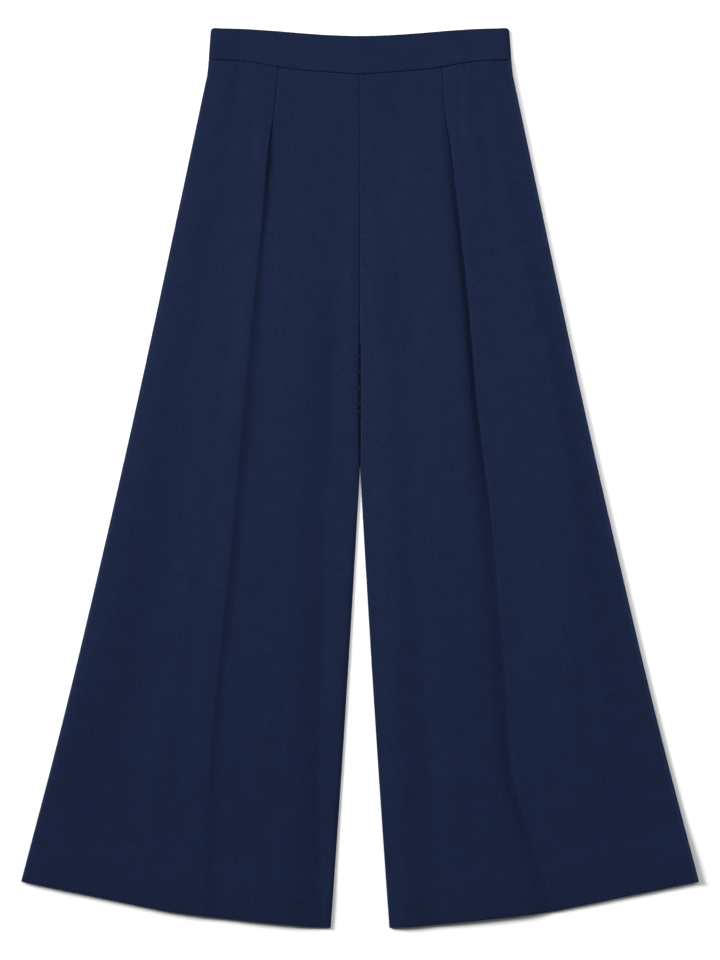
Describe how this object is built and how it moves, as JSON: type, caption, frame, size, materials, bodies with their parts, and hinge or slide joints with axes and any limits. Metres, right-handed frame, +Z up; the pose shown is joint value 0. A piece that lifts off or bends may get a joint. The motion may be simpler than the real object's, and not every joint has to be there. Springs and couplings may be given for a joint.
{
  "type": "wide-leg trousers",
  "caption": "Long wide-leg trousers laid flat, with a shaped waistband, a pleat in each front and a zip in the back seam.",
  "frame": {"origin": "on the surface that the trousers lie on, under the middle of the garment's outline", "axes": "+Z up, out of the front of the laid garment; +Y towards the waist; +X to the wearer's left"},
  "size_m": [0.7916, 1.05, 0.006],
  "materials": {
    "crepe": "matte navy crepe, finely grained",
    "zip_metal": "navy enamel on zinc alloy, satin"
  },
  "bodies": {
    "garment": {"front_left": "crepe", "front_right": "crepe", "back_left": "crepe", "back_right": "crepe", "waistband_front": "crepe", "waistband_back_left": "crepe", "waistband_back_right": "crepe", "zip_slider": "zip_metal"},
    "pull": {"zip_pull": "zip_metal"}
  },
  "joints": [
    {"name": "pull_swing", "type": "hinge", "parent": "garment", "child": "pull", "pos_m": [0, 0.51, 0.0009], "axis": [1, 0, 0], "range_deg": [0, 160]}
  ]
}
